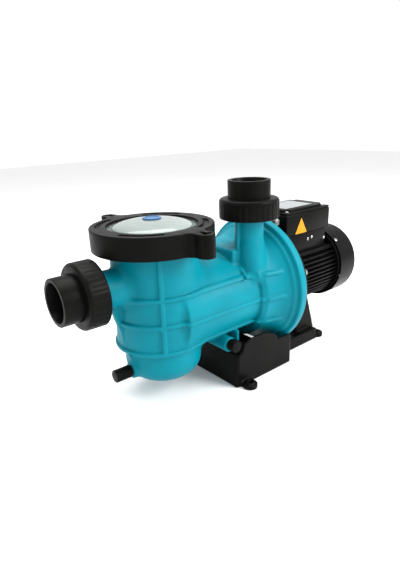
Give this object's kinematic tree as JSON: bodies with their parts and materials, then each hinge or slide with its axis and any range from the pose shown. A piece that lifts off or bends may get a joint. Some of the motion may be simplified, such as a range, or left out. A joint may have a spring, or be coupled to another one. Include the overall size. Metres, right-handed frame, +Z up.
{
  "type": "pool pump",
  "caption": "Self-priming pool pump: strainer pot with clear lid, volute body with pipe unions, finned electric motor on a moulded base.",
  "frame": {"origin": "on the ground plane, below the middle of the whole assembly's box", "axes": "+X from the suction union towards the motor, along the shaft; +Z up"},
  "size_m": [0.688, 0.28, 0.373],
  "materials": {
    "body_teal": "moulded glass-filled plastic, satin",
    "black_plastic": "moulded black plastic, fine texture",
    "motor_black": "semi-gloss black paint on aluminium",
    "lid_clear": "clear moulded plastic",
    "badge_blue": "plain blue disc",
    "rubber": "matt rubber",
    "steel": "zinc plated steel",
    "silver_plate": "plain satin plate",
    "yellow": "plain yellow plate",
    "grey_plastic": "moulded grey plastic",
    "copper": "varnished copper winding",
    "core_steel": "laminated steel",
    "ceramic": "ground ceramic ring",
    "basket_white": "moulded white plastic"
  },
  "bodies": {
    "pump": {"pump_body": "body_teal", "diffuser": "black_plastic", "seal_seat": "ceramic", "seal_plate": "black_plastic", "body_oring": "rubber", "suction_oring": "rubber", "discharge_oring": "rubber", "motor_adaptor": "motor_black", "motor_frame": "motor_black", "stator_core": "core_steel", "winding_front": "copper", "winding_rear": "copper", "front_bearing": "steel", "rear_bearing": "steel", "rear_end_shield": "motor_black", "fan_cover": "motor_black", "terminal_box": "black_plastic", "terminal_box_lid": "black_plastic", "capacitor": "silver_plate", "terminal_block": "grey_plastic", "rating_plate": "silver_plate", "warning_plate": "yellow", "cable_gland": "grey_plastic", "gland_nut": "grey_plastic", "pump_base": "black_plastic", "flange_bolt_1": "steel", "flange_bolt_2": "steel", "flange_bolt_3": "steel", "flange_bolt_4": "steel", "flange_bolt_5": "steel", "flange_bolt_6": "steel", "fan_cover_screw_1": "steel", "fan_cover_screw_2": "steel", "fan_cover_screw_3": "steel", "fan_cover_screw_4": "steel", "box_lid_screw_1": "steel", "box_lid_screw_2": "steel", "box_lid_screw_3": "steel", "box_lid_screw_4": "steel"},
    "lid_body": {"lid": "lid_clear", "lid_oring": "rubber", "lid_badge": "badge_blue"},
    "ring_body": {"lock_ring": "black_plastic"},
    "basket_body": {"basket": "basket_white"},
    "suction_tail_body": {"suction_tail": "black_plastic"},
    "suction_nut_body": {"suction_nut": "black_plastic"},
    "discharge_tail_body": {"discharge_tail": "black_plastic"},
    "discharge_nut_body": {"discharge_nut": "black_plastic"},
    "pot_drain_seal_body": {"pot_drain_oring": "rubber"},
    "pot_drain_plug_body": {"pot_drain_plug": "black_plastic"},
    "tunnel_drain_seal_body": {"tunnel_drain_oring": "rubber"},
    "tunnel_drain_plug_body": {"tunnel_drain_plug": "black_plastic"},
    "rotor_body": {"shaft": "steel", "rotor_core": "core_steel", "impeller": "grey_plastic", "impeller_nut": "steel", "seal_head": "rubber", "fan": "black_plastic"}
  },
  "joints": [
    {"name": "shaft_spin", "type": "hinge", "parent": "pump", "child": "rotor_body", "pos_m": [0.18, 0, 0.155], "axis": [1, 0, 0], "continuous": true},
    {"name": "lid_lift", "type": "slide", "parent": "pump", "child": "lid_body", "axis": [0, 0, 1], "range_m": [0, 0.3]},
    {"name": "ring_turn", "type": "hinge", "parent": "lid_body", "child": "ring_body", "pos_m": [-0.158, 0, 0.3], "axis": [0, 0, 1], "range_deg": [0, 50]},
    {"name": "basket_lift", "type": "slide", "parent": "pump", "child": "basket_body", "axis": [0, 0, 1], "range_m": [0, 0.24]},
    {"name": "suction_tail_slide", "type": "slide", "parent": "pump", "child": "suction_tail_body", "axis": [-1, 0, 0], "range_m": [0, 0.0121]},
    {"name": "suction_nut_turn", "type": "hinge", "parent": "suction_tail_body", "child": "suction_nut_body", "pos_m": [-0.3, 0, 0.221], "axis": [-1, 0, 0], "range_deg": [0, 1080]},
    {"name": "discharge_tail_slide", "type": "slide", "parent": "pump", "child": "discharge_tail_body", "axis": [0, 0, 1], "range_m": [0, 0.0121]},
    {"name": "discharge_nut_turn", "type": "hinge", "parent": "discharge_tail_body", "child": "discharge_nut_body", "pos_m": [0.023, -0.05, 0.33], "axis": [0, 0, 1], "range_deg": [0, 1080]},
    {"name": "pot_drain_slide", "type": "slide", "parent": "pump", "child": "pot_drain_seal_body", "axis": [-1, 0, 0], "range_m": [0, 0.0101]},
    {"name": "pot_drain_turn", "type": "hinge", "parent": "pot_drain_seal_body", "child": "pot_drain_plug_body", "pos_m": [-0.24, 0, 0.059], "axis": [-1, 0, 0], "range_deg": [0, 1440]},
    {"name": "tunnel_drain_slide", "type": "slide", "parent": "pump", "child": "tunnel_drain_seal_body", "axis": [0, -1, 0], "range_m": [0, 0.0101]},
    {"name": "tunnel_drain_turn", "type": "hinge", "parent": "tunnel_drain_seal_body", "child": "tunnel_drain_plug_body", "pos_m": [-0.062, -0.1, 0.086], "axis": [0, -1, 0], "range_deg": [0, 1440]}
  ],
  "couplings": [
    {"joint": "basket_lift", "follows": "lid_lift", "ratio": 0.8},
    {"joint": "suction_tail_slide", "follows": "suction_nut_turn", "m_per_rad": 0.00063662},
    {"joint": "discharge_tail_slide", "follows": "discharge_nut_turn", "m_per_rad": 0.00063662},
    {"joint": "pot_drain_slide", "follows": "pot_drain_turn", "m_per_rad": 0.00039789},
    {"joint": "tunnel_drain_slide", "follows": "tunnel_drain_turn", "m_per_rad": 0.00039789}
  ]
}
